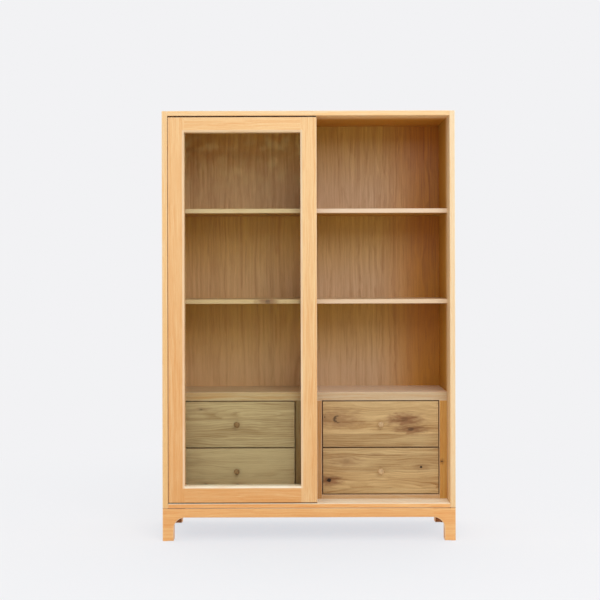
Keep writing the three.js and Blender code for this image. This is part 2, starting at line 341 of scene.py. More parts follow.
class BookcaseColours(PropertyGroup):
    """Colours of the bookcase's finishes and of the studio."""

    door_light: early_wood("Doors", 250, 213, 160)
    door_dark: late_wood("Doors", 232, 166, 98)
    case_light: early_wood("Case", 248, 226, 191)
    case_dark: late_wood("Case", 246, 200, 138)
    base_light: early_wood("Base", 252, 203, 140)
    base_dark: late_wood("Base", 238, 166, 96)
    shelf_light: early_wood("Shelves", 238, 214, 182)
    shelf_dark: late_wood("Shelves", 222, 190, 148)
    unit_light: early_wood("Drawer Units", 214, 193, 160)
    unit_dark: late_wood("Drawer Units", 194, 138, 74)
    # The outer sides' tones are painted shade and orange bounce light, on the units' oak
    side_light: early_wood("Outer Sides", 214, 170, 91)
    side_dark: late_wood("Outer Sides", 198, 132, 57)
    back_light: early_wood("Back", 232, 187, 141)
    back_dark: late_wood("Back", 196, 141, 91)
    rustic_light: early_wood("Right Drawer Fronts", 212, 182, 132)
    rustic_dark: late_wood("Right Drawer Fronts", 152, 108, 55)
    muted_light: early_wood("Left Drawer Fronts", 208, 184, 146)
    muted_dark: late_wood("Left Drawer Fronts", 150, 114, 72)
    knob_light: early_wood("Knobs", 222, 190, 146)
    knob_dark: late_wood("Knobs", 140, 104, 66)
    lining_light: early_wood("Drawer Boxes", 230, 203, 160)
    lining_dark: late_wood("Drawer Boxes", 214, 182, 136)
    # A painted highlight on eased edges, bevels and lit faces
    pale: colour_property("Pale", "Eased edges, where the finish is thin", 255, 244, 222)
    # Partly pale lipping and partly a painted highlight
    cream: colour_property("Cream", "Front edges of the shelves", 240, 216, 192)
    knot_core: colour_property("Knot Core", "Heart of a knot", 52, 32, 18)
    knot_halo: colour_property("Knot Halo", "Wood stained round a knot", 150, 92, 52)
    # Painted shade inside the case, on the inner faces and under the shelves
    inside: colour_property("Inside", "Stain over the case's inner faces", 206, 172, 86)
    # Painted shade on the back under each board
    ceiling: colour_property("Ceiling", "Stain over the back below a board", 255, 243, 128)
    # Painted light: the back of the open right bay is cooler than the glazed left bay's
    bay: colour_property("Bay", "Stain over the back in the right bay", 239, 248, 255)
    # Painted shade on the back beside the right side panel
    corner: colour_property("Corner", "Stain over the back's right side", 240, 196, 62)
    # Painted shade in gaps and joints: round the drawer fronts and on the base's top faces
    shade: colour_property("Shade", "Stain over edges that lie in a joint", 160, 132, 104)
    # Painted shade in the gaps above and below the doors
    gap: colour_property("Gap", "Stain over the doors' edges, above and below them", 100, 60, 34)
    # Painted shade on the left unit's front, in the recess behind the door
    recess: colour_property("Recess", "Stain over the left unit's front behind the door", 205, 215, 210)
    glass: colour_property("Glass", "Tint of one face of a pane", 254, 255, 252)
    floor: colour_property("Floor", "Floor under the bookcase", 235, 233, 230)
    background: colour_property("Background", "Backdrop that the camera sees", 242, 242, 244)
    room: colour_property("Room", "Dim room that the panes and the gloss reflect", 44, 46, 46)
    leaves: colour_property("Leaves", "Faint reflections high in the panes", 156, 160, 116)


class BookcaseSizes(PropertyGroup):
    """Small sizes that the finishing adds to the frame's pieces."""

    board_ease: length_property("Board Easing", "Rounding of the inner boards' edges", 0.0015)
    base_ease: length_property("Base Easing", "Rounding of the aprons' long edges", 0.002)
    panel_ease: length_property("Panel Easing", "Rounding of thin panels' edges", 0.001)
    glass_ease: length_property("Glass Easing", "Ground edge of the panes", 0.0006)
    chamfer_softness: length_property("Chamfer Softness", "Rounding of jointed pieces' chamfers", 0.0003)
    round_steps: count_property("Rounding Steps", "Faces across one rounded edge", 3, 1, 8)
    knob_steps: count_property("Knob Steps", "Faces round one turned knob", 56, 12, 128)


class BookcaseStudio(PropertyGroup):
    """Camera, lamps and backdrop."""

    camera_place: place_property(
        "Camera Place", "Where the camera stands, looking straight along Y", -0.035, -5.1, 1.103
    )
    camera_lens: number_property("Camera Lens", "Focal length in millimetres", 71.86)
    camera_roll: FloatProperty(
        name="Camera Roll",
        description="How far the camera leans to its right",
        subtype="ANGLE",
        unit="ROTATION",
        default=math.radians(0.15),
    )
    horizon_pixel: number_property("Horizon", "Row of the picture that the horizon lies on", 271.2)
    key_place: place_property("Key Lamp Place", "Where the large soft lamp hangs", 1.1, -4.0, 3.5)
    key_aim: place_property("Key Lamp Aim", "Point that the large soft lamp shines at", 0.0, 0.0, 0.85)
    key_size: length_property("Key Lamp Size", "Side of the large soft lamp", 2.6)
    key_power: number_property("Key Lamp Power", "Power of the large soft lamp in watts", 75.0)
    key_colour: light_property("Key Lamp Colour", "Colour of the large soft lamp", 0.93, 0.98, 1.0)
    fill: number_property("Fill", "Strength of the even light from all round", 1.045)
    front_fill: number_property("Front Fill", "Strength of the even light from straight ahead", 0.56)
    fill_colour: light_property("Fill Colour", "Colour of the even light", 1.0, 0.94, 0.86)
    floor_light: light_property(
        "Floor Light", "How bright a white floor in front of the bookcase is", 1.053, 0.983, 0.893
    )
    shadow_shares: light_property(
        "Shadow Shares", "How much of the floor's real light the camera sees", 0.305, 0.253, 0.232
    )
    floor_radius: length_property("Floor Radius", "Radius of the round floor", 9.0)


@dataclass(frozen=True)
class Knot:
    """A knot, placed from the middle of its board along, across and through the grain."""

    along: float
    across: float
    radius: float
    through: float = 0.0
    length: float = 1.3
    opening: float = 0.0
    pinch: float = 0.7
    core: float = 1.0
    halo: float = 0.5


@dataclass(frozen=True)
class OakFinish:
    """How one oak finish looks. Widths are in metres, and strengths run from 0 to about 1."""

    tones: str
    stave_width: float
    stave_shift: float = 0.0
    ring_width: float = 0.004
    pith_depth: float = 0.05
    wander: float = 0.02
    figure: float = 0.4
    fibre: float = 0.4
    pores: float = 0.4
    bands: float = 0.0
    tone: float = 0.08
    joint: float = 0.0
    roughness: float = 0.5
    gloss: float = 0.5
    # Colour of the painted highlight on eased edges and of the lip
    pale: str = "pale"
    # Painted shade, and painted light, laid over the marked faces
    stains: tuple = ()
    # Painted shade per metre below the true height
    deepening: float = 0.0
    knots: tuple = ()


SHELF_OAK = OakFinish("shelf", 0.1, fibre=0.6, bands=0.6, pale="cream", stains=("inside",))
UNIT_OAK = OakFinish("unit", 0.1, figure=0.5, fibre=0.7, bands=0.8, pale="cream")
RUSTIC_OAK = OakFinish(
    "rustic", 0.078, ring_width=0.009, pith_depth=0.032, wander=0.03, fibre=0.6, pores=0.5,
    bands=1.3, tone=0.2, joint=0.3, roughness=0.55, stains=("shade",),
)

FINISHES = {
    "door_oak": OakFinish(
        "door", 0.2, figure=0.45, fibre=0.9, bands=0.6, tone=0.06, stains=("gap",), deepening=0.2,
    ),
    "case_oak": OakFinish(
        "case", 0.1, figure=0.45, fibre=0.9, bands=0.6, tone=0.06, stains=("inside",), deepening=0.3,
    ),
    "base_oak": OakFinish("base", 0.2, figure=0.5, fibre=1.0, bands=1.0, stains=("shade",)),
    "shelf_oak": SHELF_OAK,
    "shelf_knotty_oak": replace(
        SHELF_OAK, knots=(Knot(0.1255, -0.150, 0.005, length=2.2, core=0.5, halo=1.2),),
    ),
    "unit_oak": UNIT_OAK,
    "unit_recess_oak": replace(UNIT_OAK, pale="pale", stains=("recess",)),
    "unit_side_oak": replace(
        UNIT_OAK, tones="side", stave_width=0.3, pale="pale",
        knots=(Knot(-0.050, -0.140, 0.0018, through=-0.007, halo=0.8),),
    ),
    "back_veneer": OakFinish(
        "back", 0.29, ring_width=0.02, pith_depth=0.15, fibre=1.0, bands=0.3, tone=0.1,
        roughness=0.42, gloss=0.8, stains=("bay", "ceiling", "corner"), deepening=-0.35,
    ),
    "lining_wood": OakFinish("lining", 0.12, pores=0.2, roughness=0.65),
    "knob_oak": OakFinish("knob", 0.1, figure=0.5, fibre=0.5),
    "drawer_oak_right_upper": replace(
        RUSTIC_OAK,
        stave_shift=0.001,
        knots=(
            Knot(-0.179, 0.021, 0.018, opening=0.007, core=0.75, halo=0.7),
            Knot(-0.234, 0.025, 0.004, halo=0.8, pinch=0.4),
            Knot(0.055, 0.020, 0.004, core=0.7, pinch=0.4),
            Knot(0.100, 0.018, 0.013, length=1.25, core=0.15, halo=1.2),
            Knot(0.126, -0.019, 0.010, length=1.5, core=0.5, halo=1.15),
        ),
    ),
    "drawer_oak_right_lower": replace(
        RUSTIC_OAK,
        stave_width=0.070,
        stave_shift=-0.032,
        knots=(
            Knot(-0.029, 0.068, 0.003, length=3.0, pinch=0.3),
            Knot(0.097, 0.077, 0.002, length=4.0, pinch=0.3),
            Knot(0.168, 0.015, 0.006),
            Knot(-0.216, -0.039, 0.009, halo=1.2),
            Knot(-0.142, 0.041, 0.011, core=0.1, pinch=0.9),
        ),
    ),
    "drawer_oak_left_upper": replace(
        RUSTIC_OAK,
        tones="muted",
        stave_width=0.085,
        stave_shift=0.02,
        knots=(Knot(-0.15, 0.062, 0.004, length=3.0, halo=0.6),),
    ),
    "drawer_oak_left_lower": replace(
        RUSTIC_OAK,
        tones="muted",
        stave_width=0.080,
        stave_shift=-0.01,
        knots=(
            Knot(-0.131, -0.058, 0.008),
            Knot(0.002, -0.058, 0.007),
            Knot(-0.215, -0.060, 0.004, core=0.7),
        ),
    ),
}


# The values of a finish and of a knot that their node groups take as inputs of the same names
GRAIN_VALUES = (
    "stave_width", "stave_shift", "ring_width", "pith_depth", "wander", "figure", "fibre", "pores",
    "bands", "tone", "joint", "roughness",
)
KNOT_VALUES = ("radius", "length", "opening", "pinch")


def named_inputs(source, names):
    return {name.replace("_", " ").title(): getattr(source, name) for name in names}


class Tree:
    """Adds nodes to one shader tree. Each input is given a socket to link or a plain value."""

    def __init__(self, tree):
        self.tree = tree

    def feed(self, socket, value):
        if isinstance(value, bpy.types.NodeSocket):
            self.tree.links.new(value, socket)
        elif socket.type == "RGBA" and len(value) == 3:
            socket.default_value = (*value, 1.0)
        else:
            socket.default_value = value

    def node(self, kind, inputs=(), **settings):
        node = self.tree.nodes.new("ShaderNode" + kind)
        for name, value in settings.items():
            setattr(node, name, value)
        for key, value in dict(inputs).items():
            self.feed(node.inputs[key], value)
        return node

    def math(self, operation, *values, clamp=False):
        node = self.node("Math", enumerate(values), operation=operation, use_clamp=clamp)
        return node.outputs[0]

    def plus(self, *values, clamp=False):
        return self.math("ADD", *values, clamp=clamp)

    def minus(self, *values, clamp=False):
        return self.math("SUBTRACT", *values, clamp=clamp)

    def times(self, *values, clamp=False):
        return self.math("MULTIPLY", *values, clamp=clamp)

    def times_plus(self, *values):
        """The first value times the second, plus the third."""
        return self.math("MULTIPLY_ADD", *values)

    def vector(self, operation, *values):
        node = self.node("VectorMath", enumerate(values), operation=operation)
        return node.outputs["Value" if operation == "LENGTH" else "Vector"]

    def combine(self, x, y, z):
        return self.node("CombineXYZ", enumerate((x, y, z))).outputs[0]

    def separate(self, vector):
        return self.node("SeparateXYZ", {0: vector}).outputs

    def mix(self, factor, first, second, blend="MIX"):
        inputs = {0: factor, 6: first, 7: second}
        return self.node("Mix", inputs, data_type="RGBA", blend_type=blend).outputs[2]

    def span(self, value, low, high, to_low=0.0, to_high=1.0):
        """A smooth step from to_low, below low, to to_high, above high."""
        inputs = enumerate((value, low, high, to_low, to_high))
        return self.node("MapRange", inputs, interpolation_type="SMOOTHSTEP").outputs[0]

    def noise(self, place, lumps, detail=2.0):
        """Noise with this many lumps in a metre along each axis."""
        inputs = {
            "Vector": self.vector("MULTIPLY", place, lumps),
            "Scale": 1.0,
            "Detail": detail,
        }
        return self.node("TexNoise", inputs).outputs

    def waver(self, place, lumps, detail):
        """Noise that swings about 0."""
        return self.math("SUBTRACT", self.noise(place, lumps, detail)[0], 0.5)

    def scaled(self, colour, share):
        return self.node("VectorMath", {0: colour, 3: share}, operation="SCALE").outputs["Vector"]

    def scatter(self, x, y, z):
        """A random value and colour for each set of three numbers."""
        inputs = {"Vector": self.combine(x, y, z)}
        return self.node("TexWhiteNoise", inputs, noise_dimensions="3D").outputs

    def mix_shaders(self, factor, first, second):
        return self.node("MixShader", {0: factor, 1: first.outputs[0], 2: second.outputs[0]})

    def show(self, shader):
        self.node("OutputMaterial", {"Surface": shader.outputs[0]})

    def attribute(self, name):
        return self.node("Attribute", attribute_name=name).outputs

    def group(self, name, make, inputs):
        """The outputs of the node group of this name, which is made the first time."""
        shared = bpy.data.node_groups.get(name) or make()
        return self.node("Group", inputs, node_tree=shared).outputs


def new_group(name, inputs):
    """Starts a node group. Gives its tree and the sockets that come in."""
    group = bpy.data.node_groups.new(name, "ShaderNodeTree")
    for socket_name, value in inputs.items():
        if isinstance(value, float):
            kind = "NodeSocketFloat"
        else:
            kind = "NodeSocketVector" if len(value) == 3 else "NodeSocketColor"
        socket = group.interface.new_socket(socket_name, in_out="INPUT", socket_type=kind)
        socket.default_value = value
    return Tree(group), group.nodes.new("NodeGroupInput").outputs


def end_group(tree, results):
    """Ends a node group, which gives these results."""
    for name in results:
        kind = OUTPUT_KINDS.get(name, "NodeSocketFloat")
        tree.tree.interface.new_socket(name, in_out="OUTPUT", socket_type=kind)
    end = tree.tree.nodes.new("NodeGroupOutput")
    for name, result in results.items():
        tree.feed(end.inputs[name], result)
    return tree.tree


def oak_grain_group():
    """Glued staves of oak, each cut from its own part of a log, from a place in the board."""
    inputs = {
        "Vector": (0.0, 0.0, 0.0),
        "Board": 0.0,
        "Light": ANY_COLOUR,
        "Dark": ANY_COLOUR,
        "Depth": 0.0,
        **named_inputs(UNIT_OAK, GRAIN_VALUES),
    }
    tree, given = new_group("Oak Grain", inputs)
    along, across, through = tree.separate(given["Vector"])

    # Each stave is a random piece of the log
    shifted = tree.plus(across, given["Stave Shift"])
    place = tree.math("DIVIDE", shifted, given["Stave Width"])
    stave = tree.math("FLOOR", tree.plus(place, 0.5))
    stave_random = tree.scatter(stave, given["Board"], 0.5)
    first, second, third = tree.separate(stave_random["Color"])
    local = tree.minus(shifted, tree.times(stave, given["Stave Width"]))
    start = tree.times_plus(first, LOG_LENGTH, along)
    wood = tree.combine(start, local, tree.times_plus(second, LOG_DEPTH, through))

    # All the lines sway together
    sway = tree.vector("SUBTRACT", tree.noise(wood, SWAY_LUMPS)["Color"], (0.5, 0.5, 0.5))
    sway = tree.vector("MULTIPLY", sway, tree.combine(0.0, given["Wander"], given["Wander"]))
    _, sway_across, sway_through = tree.separate(sway)
    wood = tree.vector("ADD", wood, sway)

    # The pith runs along the log and wanders a little
    drift = tree.noise(tree.combine(start, third, given["Board"]), DRIFT_LUMPS)["Color"]
    drift_across, drift_through, slow = tree.separate(drift)
    side = tree.times(tree.minus(second, 0.5), given["Stave Width"])
    swing = tree.times(tree.minus(drift_across, 0.5), given["Wander"])
    stray = tree.times(side, PITH_STRAY_SHARE)
    pith_across = tree.plus(stray, tree.times(swing, PITH_SWING_SHARE))
    sink = tree.times(tree.minus(drift_through, 0.5), given["Wander"])
    depth = tree.times(given["Pith Depth"], tree.times_plus(third, *PITH_DEPTHS))
    pith_through = tree.times_plus(sink, PITH_SINK_SHARE, depth)

    # Growth rings lie round the pith, slightly rumpled
    rumple = tree.waver(wood, RUMPLE_LUMPS, 3.0)
    from_across = tree.minus(tree.plus(local, sway_across), pith_across)
    from_through = tree.plus(tree.plus(through, sway_through), pith_through)
    radius = tree.vector("LENGTH", tree.combine(from_across, from_through, 0.0))
    rings = tree.math("DIVIDE", radius, given["Ring Width"])
    rings = tree.times_plus(rumple, RING_RUMPLE, rings)
    ring_random = tree.scatter(tree.math("FLOOR", rings), stave, given["Board"])["Value"]
    part = tree.math("FRACT", rings)
    band = tree.span(part, *LATE_WOOD, 1.0, 0.0)
    band = tree.times(tree.span(part, 0.0, LATE_WOOD[0]), band)
    band = tree.times(band, tree.times_plus(ring_random, *RING_STRENGTHS))

    # Fibres, broad streaks and open pores run along the board
    fibre = tree.waver(wood, FIBRE_LUMPS, 3.0)
    streak = tree.waver(wood, STREAK_LUMPS, 2.0)
    pore = tree.span(tree.noise(wood, PORE_LUMPS, 1.0)[0], *PORE_SPAN)
    pore = tree.times(pore, tree.times_plus(band, *PORE_STRENGTHS))

    # Colour
    lines = tree.times_plus(tree.plus(fibre, streak), *LINE_STRENGTHS)
    lines = tree.times(lines, given["Fibre"])
    shade = tree.times_plus(band, given["Figure"], lines)
    broad = tree.waver(wood, BAND_LUMPS, 2.0)
    shade = tree.times_plus(broad, given["Bands"], shade)
    shade = tree.plus(shade, tree.plus(given["Depth"], BASE_SHADE), clamp=True)
    colour = tree.mix(shade, given["Light"], given["Dark"])
    tone = tree.plus(tree.minus(third, 0.5), tree.minus(slow, 0.5))
    colour = tree.scaled(colour, tree.times_plus(tone, given["Tone"], 1.0))
    pores = tree.times(pore, given["Pores"])
    colour = tree.mix(pores, colour, tree.scaled(colour, PORE_TONE))
    edge = tree.times(given["Stave Width"], 0.5)
    reach = tree.minus(tree.math("ABSOLUTE", local), edge)
    line = tree.times(tree.span(reach, *JOINT_SPAN), given["Joint"])
    colour = tree.mix(line, colour, tree.scaled(colour, JOINT_TONE))

    # Finish and relief
    rough = tree.times_plus(band, RING_ROUGHNESS, given["Roughness"])
    rough = tree.times_plus(pore, PORE_ROUGHNESS, rough)
    relief = tree.times_plus(fibre, FIBRE_RELIEF, tree.times(band, RING_RELIEF))
    relief = tree.minus(relief, tree.plus(pore, line))
    return end_group(tree, {"Color": colour, "Roughness": rough, "Height": relief})


def knot_group():
    """Draws the grain in round a knot, and masks the knot's core and its stained halo."""
    inputs = {
        "Vector": (0.0, 0.0, 0.0),
        "Centre": (0.0, 0.0, 0.0),
        **named_inputs(Knot(0.0, 0.0, 0.01), KNOT_VALUES),
    }
    tree, given = new_group("Knot", inputs)
    offset = tree.vector("SUBTRACT", given["Vector"], given["Centre"])
    along, across, through = tree.separate(offset)
    rough = tree.waver(offset, KNOT_EDGE_LUMPS, 3.0)

    def distance(shift, length):
        """The distance from a point beside the knot, in radii, on an oval this much longer."""
        short = tree.math("DIVIDE", tree.minus(along, shift), length)
        flat = tree.combine(short, across, tree.times(through, KNOT_FLATNESS))
        return tree.math("DIVIDE", tree.vector("LENGTH", flat), given["Radius"])

    whole = tree.times_plus(rough, KNOT_RAGGEDNESS, distance(0.0, given["Length"]))
    core = tree.span(whole, *CORE_EDGE, 1.0, 0.0)
    hollow = distance(given["Opening"], given["Length"])
    hollow = tree.times_plus(rough, KNOT_RAGGEDNESS, hollow)
    hollow = tree.span(hollow, *HOLLOW_EDGE, 1.0, 0.0)
    opened = tree.math("GREATER_THAN", given["Opening"], 0.0)
    core = tree.minus(core, tree.times(hollow, opened), clamp=True)
    stretched = distance(0.0, tree.times(given["Length"], HALO_STRETCH))
    patchy = tree.waver(offset, KNOT_HALO_LUMPS, 3.0)
    halo = tree.times_plus(patchy, HALO_RAGGEDNESS, stretched)
    halo = tree.span(halo, *HALO_EDGE, 1.0, 0.0)
    draw = tree.span(distance(0.0, DRAW_LENGTH), 0.0, DRAW_REACH, 1.0, 0.0)
    moved = tree.times(across, tree.times(draw, given["Pinch"]))
    bent = tree.vector("SUBTRACT", given["Vector"], tree.combine(0.0, moved, 0.0))
    return end_group(tree, {"Vector": bent, "Core": core, "Halo": halo})


def eased_edge_group():
    """Lets a paler colour through where an edge is eased, unevenly: a painted highlight."""
    inputs = {
        "Color": ANY_COLOUR,
        "Pale": ANY_COLOUR,
        "Vector": (0.0, 0.0, 0.0),
        "Amount": 0.0,
    }
    tree, given = new_group("Eased Edge", inputs)
    uneven = tree.noise(given["Vector"], WEAR_LUMPS, 3.0)[0]
    worn = tree.span(uneven, *WEAR_NOISE, *WEAR_SHARES)
    amount = tree.times(given["Amount"], worn, clamp=True)
    return end_group(tree, {"Color": tree.mix(amount, given["Color"], given["Pale"])})


def new_material(name):
    material = bpy.data.materials.new(name)
    material.use_nodes = True
    material.node_tree.nodes.clear()
    return material, Tree(material.node_tree)


def stain_mask(tree, stain, place):
    """Where a painted shade lies, or the back's painted light: all over a piece's inner faces, or on one
    part of them.
    """
    across, ahead, height = tree.separate(place)
    share = 1.0
    if stain == "inside":
        share = tree.span(ahead, *STAIN_SPAN)
    elif stain == "bay":
        share = tree.math("GREATER_THAN", across, 0.0)
    elif stain == "corner":
        share = tree.span(across, *CORNER_SPAN)
    elif stain == "ceiling":
        share = 0.0
        for node in ("top_panel", "shelf_right_upper", "shelf_right_lower"):
            low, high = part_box(node)
            under = tree.span(height, low.z - CEILING_HEIGHT, low.z)
            under = tree.times(under, tree.math("LESS_THAN", height, high.z))
            share = tree.math("MAXIMUM", share, under)
    return tree.times(tree.attribute(INNER)["Fac"], share)


def oak_material(context, name):
    """The material of one of the oak finishes, made the first time that it is asked for."""
    made = bpy.data.materials.get(name)
    if made:
        return made
    finish = FINISHES[name]
    colours = context.scene.bookcase_colours
    material, tree = new_material(name)
    place = tree.attribute(GRAIN)["Vector"]
    object_place = tree.node("TexCoord").outputs["Object"]

    # Each knot draws the grain in
    core, halo = 0.0, 0.0
    for knot in finish.knots:
        inputs = {
            "Vector": place,
            "Centre": (knot.along, knot.across, knot.through),
            **named_inputs(knot, KNOT_VALUES),
        }
        drawn = tree.group("Knot", knot_group, inputs)
        place = drawn["Vector"]
        core = tree.math("MAXIMUM", core, tree.times(drawn["Core"], knot.core))
        halo = tree.math("MAXIMUM", halo, tree.times(drawn["Halo"], knot.halo))

    # The grain, then the colours that lie over it: knots, then painted shade and light, then the painted
    # edge highlight
    # Painted shade towards the floor on the doors and the case, and painted light lower on the back
    below = tree.minus(TRUE_HEIGHT, tree.separate(object_place)["Z"])
    inputs = {
        "Vector": place,
        "Board": tree.attribute(BOARD)["Fac"],
        "Light": getattr(colours, finish.tones + "_light"),
        "Dark": getattr(colours, finish.tones + "_dark"),
        "Depth": tree.times_plus(below, finish.deepening, tree.attribute(DEPTH)["Fac"]),
        **named_inputs(finish, GRAIN_VALUES),
    }
    grain = tree.group("Oak Grain", oak_grain_group, inputs)
    colour = grain["Color"]
    if finish.knots:
        halo = tree.times(halo, HALO_STRENGTH)
        colour = tree.mix(halo, colour, tree.mix(1.0, colour, colours.knot_halo, "MULTIPLY"))
        colour = tree.mix(core, colour, colours.knot_core)
    # Painted shade, and the back's painted light, on the faces marked inner
    for stain in finish.stains:
        stained = tree.mix(1.0, colour, getattr(colours, stain), "MULTIPLY")
        colour = tree.mix(stain_mask(tree, stain, object_place), colour, stained)
    inputs = {
        "Color": colour,
        "Pale": getattr(colours, finish.pale),
        "Vector": place,
        "Amount": tree.attribute(PALE)["Fac"],
    }
    eased = tree.group("Eased Edge", eased_edge_group, inputs)

    inputs = {"Strength": RELIEF_STRENGTH, "Distance": RELIEF_HEIGHT, "Height": grain["Height"]}
    bump = tree.node("Bump", inputs)
    inputs = {
        "Base Color": eased["Color"],
        "Roughness": grain["Roughness"],
        "Normal": bump.outputs[0],
        "IOR": OAK_IOR,
        "Specular IOR Level": finish.gloss,
    }
    tree.show(tree.node("BsdfPrincipled", inputs))
    return material


def glass_material(context):
    """Clear float glass that lamps and bounced light pass straight through."""
    made = bpy.data.materials.get("pane_glass")
    if made:
        return made
    tint = context.scene.bookcase_colours.glass
    material, tree = new_material("pane_glass")
    place = tree.node("TexCoord").outputs["Object"]
    smear = tree.noise(place, SMEAR_LUMPS, 4.0)[0]
    inputs = {
        "Base Color": tint,
        "Roughness": tree.span(smear, *SMEAR_NOISE, 0.0, SMEAR_ROUGHNESS),
        "IOR": GLASS_IOR,
        "Transmission Weight": 1.0,
    }
    pane = tree.node("BsdfPrincipled", inputs)
    clear = tree.node("BsdfTransparent", {"Color": tint})
    path = tree.node("LightPath").outputs
    lit = tree.mix_shaders(path["Is Shadow Ray"], pane, clear)
    tree.show(tree.mix_shaders(path["Is Diffuse Ray"], lit, clear))
    return material


def block(low, high):
    """A sharp block between two corners."""
    bm = bmesh.new()
    bmesh.ops.create_cube(bm, size=1.0)
    bmesh.ops.scale(bm, vec=high - low, verts=bm.verts)
    bmesh.ops.translate(bm, vec=(low + high) / 2, verts=bm.verts)
    return bm


def round_edges(bm, edges, ease, steps):
    bmesh.ops.bevel(
        bm,
        geom=edges,
        offset=ease,
        offset_type="OFFSET",
        segments=steps,
        profile=0.5,
        affect="EDGES",
        clamp_overlap=True,
        material=-1,
    )


def eased_board(node, ease, steps, glued=None):
    """A board that fills a node's box. Its end faces across the glued axis keep sharp edges."""
    low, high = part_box(node)
    bm = block(low, high)
    edges = [
        edge
        for edge in bm.edges
        if glued is None or abs((edge.verts[1].co - edge.verts[0].co)[glued]) > WELD
    ]
    round_edges(bm, edges, ease, steps)
    return bm


def softened_copy(node, softness):
    """A jointed node's solid with its flats made whole and its small chamfers rounded."""
    bm = bmesh.new()
    bm.from_mesh(frame["nodes"][node].data)
    bmesh.ops.remove_doubles(bm, verts=bm.verts, dist=WELD)
    bmesh.ops.dissolve_limit(bm, angle_limit=FLAT, verts=bm.verts, edges=bm.edges)
    bm.normal_update()
    borders = [
        edge
        for edge in bm.edges
        if edge.is_convex and LEAST_CHAMFER < edge.calc_face_angle(0.0) < MOST_CHAMFER
    ]
    round_edges(bm, borders, softness, SOFT_STEPS)
    low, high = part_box(node)
    for vert in bm.verts:
        vert.co = [min(max(part, least), most) for part, least, most in zip(vert.co, low, high)]
    return bm


def smooth_curve(points, steps):
    """Points on one smooth curve through the given ones, with steps for each span."""
    curve = []
    for index in range(len(points) - 1):
        start, end = points[index], points[index + 1]
        before = points[max(index - 1, 0)]
        after = points[min(index + 2, len(points) - 1)]
        handles = start + (end - before) / 6, end - (after - start) / 6
        curve += interpolate_bezier(start, *handles, end, steps + 1)[:-1]
    return curve + [points[-1]]


def turned_knob(node, face, steps):
    """A knob turned round Y, with its tenon behind the plane of the drawer's face."""
    low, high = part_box(node)
    middle = (low + high) / 2
    radius = (high.x - low.x) / 2
    length = face - low.y
    outline = [
        Vector((radius * radius_share, face - length * length_share, 0.0))
        for radius_share, length_share in KNOB_PROFILE_SHARES
    ]
    points = [
        Vector((0.0, high.y, 0.0)),
        Vector((KNOB_TENON_RADIUS, high.y, 0.0)),
        Vector((KNOB_TENON_RADIUS, face, 0.0)),
        *smooth_curve(outline, KNOB_SPAN_STEPS),
    ]
    bm = bmesh.new()
    verts = [bm.verts.new((middle.x + point.x, point.y, middle.z)) for point in points]
    edges = [bm.edges.new(pair) for pair in zip(verts, verts[1:])]
    bmesh.ops.spin(
        bm,
        geom=verts + edges,
        cent=middle,
        axis=(0.0, 1.0, 0.0),
        angle=2 * math.pi,
        steps=steps,
        use_merge=True,
    )
    bmesh.ops.remove_doubles(bm, verts=bm.verts, dist=WELD)
    bmesh.ops.recalc_face_normals(bm, faces=bm.faces)
    return bm


def write_grain(bm, along, node):
    """Gives each point its place in the board: along, across and through it, from its middle."""
    spans = [[vert.co[axis] for vert in bm.verts] for axis in range(3)]
    size = [max(span) - min(span) for span in spans]
    middle = Vector([(max(span) + min(span)) / 2 for span in spans])
    others = [axis for axis in range(3) if axis != along]
    across, through = sorted(others, key=lambda axis: -size[axis])
    grain = bm.verts.layers.float_vector.new(GRAIN)
    board = bm.verts.layers.float.new(BOARD)
    depth = bm.verts.layers.float.new(DEPTH)
    seed = random.Random(node).uniform(0.0, SEED_RANGE)
    for vert in bm.verts:
        place = vert.co - middle
        vert[grain] = (place[along], place[across], place[through])
        vert[board] = seed
        vert[depth] = BOARD_DEPTHS.get(node, 0.0)


def shade_faces(bm, node, lipped=None, stained=(), flats=True, eased=EASED_PALENESS):
    """Smooths all but the square faces. Marks eased edges and bevels as pale, a painted highlight, and
    the lip and highlight side as pale, and the shaded sides as inner, for painted shade, or without
    flats just their eased edges. What lies back in a groove goes with the one or the other."""
    pale = bm.faces.layers.float.new(PALE)
    inner = bm.faces.layers.float.new(INNER)
    front = min(vert.co.y for vert in bm.verts)
    sides = [(way, max(way.dot(vert.co) for vert in bm.verts) - STAIN_REACH) for way in stained]
    bm.normal_update()
    for face in bm.faces:
        square = max(abs(part) for part in face.normal) > SQUARE_NORMAL
        width = face.calc_area() / max(edge.calc_length() for edge in face.edges)
        face.smooth = not square
        if not square:
            face[pale] = eased if width < EASED_WIDTH else min(eased, BEVEL_PALENESS)
        middle = face.calc_center_median()
        sunk = face.normal.dot(FRONTWARD) > SQUARE_NORMAL and middle.y > front + RECESS
        edging = any(
            face.normal.dot(way) > STAIN_TURN and way.dot(middle) > least for way, least in sides
        )
        if lipped is not None and (face.normal.dot(lipped) > LIP_TURN or (sunk and not stained)):
            face[pale] = LIP_PALENESS.get(node, 1.0)
        elif (edging and (flats or not square)) or (sunk and stained):
            face[pale] = 0.0
            face[inner] = 1.0


def place_piece(node, bm, material):
    """Turns a finished shape into the piece that stands for a node."""
    name = node + "_finished"
    mesh = bpy.data.meshes.new(name)
    bm.to_mesh(mesh)
    bm.free()
    mesh.materials.append(material)
    piece = bpy.data.objects.new(name, mesh)
    bpy.context.scene.collection.objects.link(piece)
    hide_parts(node)
    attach(piece, BODY[node])


def place_wood(node, bm, along, material, **marks):
    write_grain(bm, along, node)
    shade_faces(bm, node, **marks)
    place_piece(node, bm, material)


def nodes_named(*parts):
    """The frame's nodes whose names hold all these parts."""
    return [node for node in frame["nodes"] if all(part in node for part in parts)]


